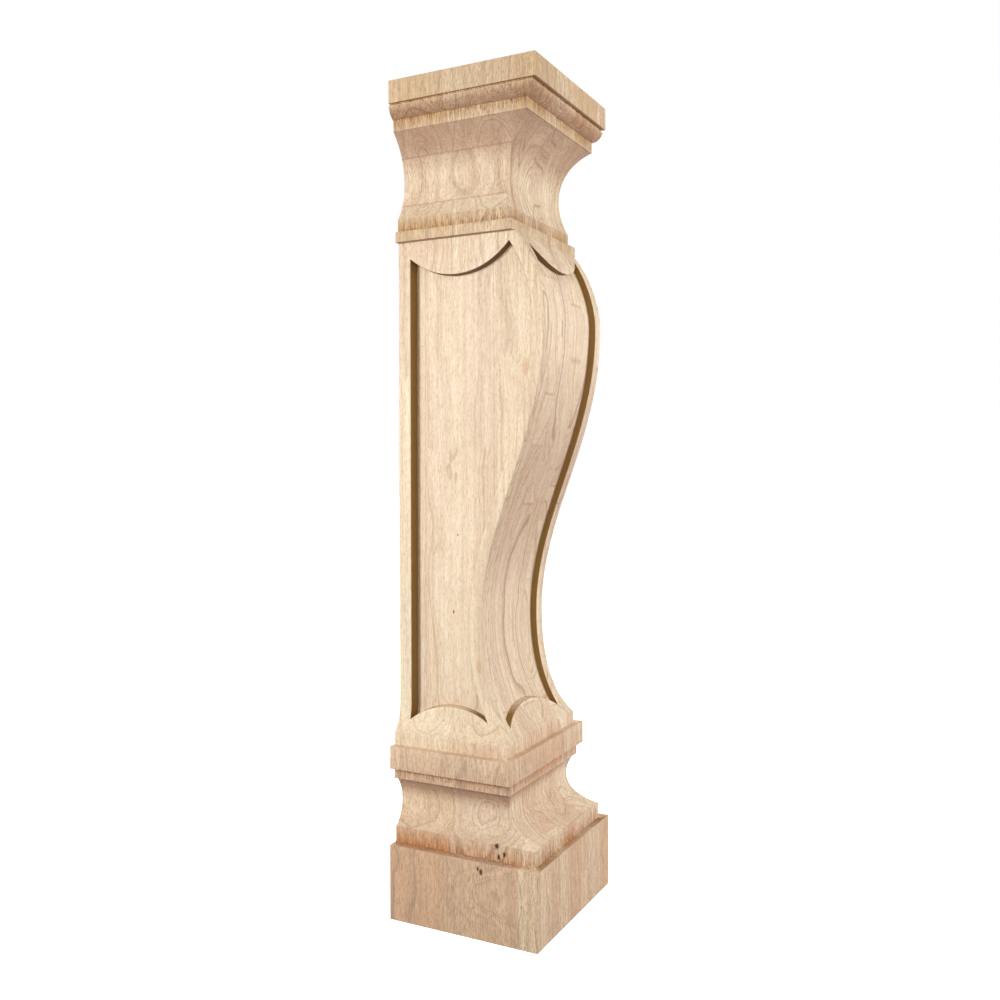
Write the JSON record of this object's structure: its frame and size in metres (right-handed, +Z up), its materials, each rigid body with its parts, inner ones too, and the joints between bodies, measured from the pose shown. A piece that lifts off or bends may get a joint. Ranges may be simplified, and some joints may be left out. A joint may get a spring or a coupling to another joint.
{
  "type": "fireplace corbel",
  "caption": "Tall carved wooden mantel leg: plinth and moulded base, S-curved shaft with sunk panels, coved capital under a flat cap, flat back for the wall.",
  "frame": {"origin": "middle of the underside of the plinth, on the floor", "axes": "+Z up; -Y out into the room, the way the S-curved front faces; +Y into the wall, the way the flat back faces; +X to one side"},
  "size_m": [0.197, 0.178, 0.9144],
  "materials": {
    "raw_hardwood": "bare wood, sanded, no stain or varnish"
  },
  "bodies": {
    "root": {"fireplace_corbel": "raw_hardwood"}
  },
  "joints": []
}
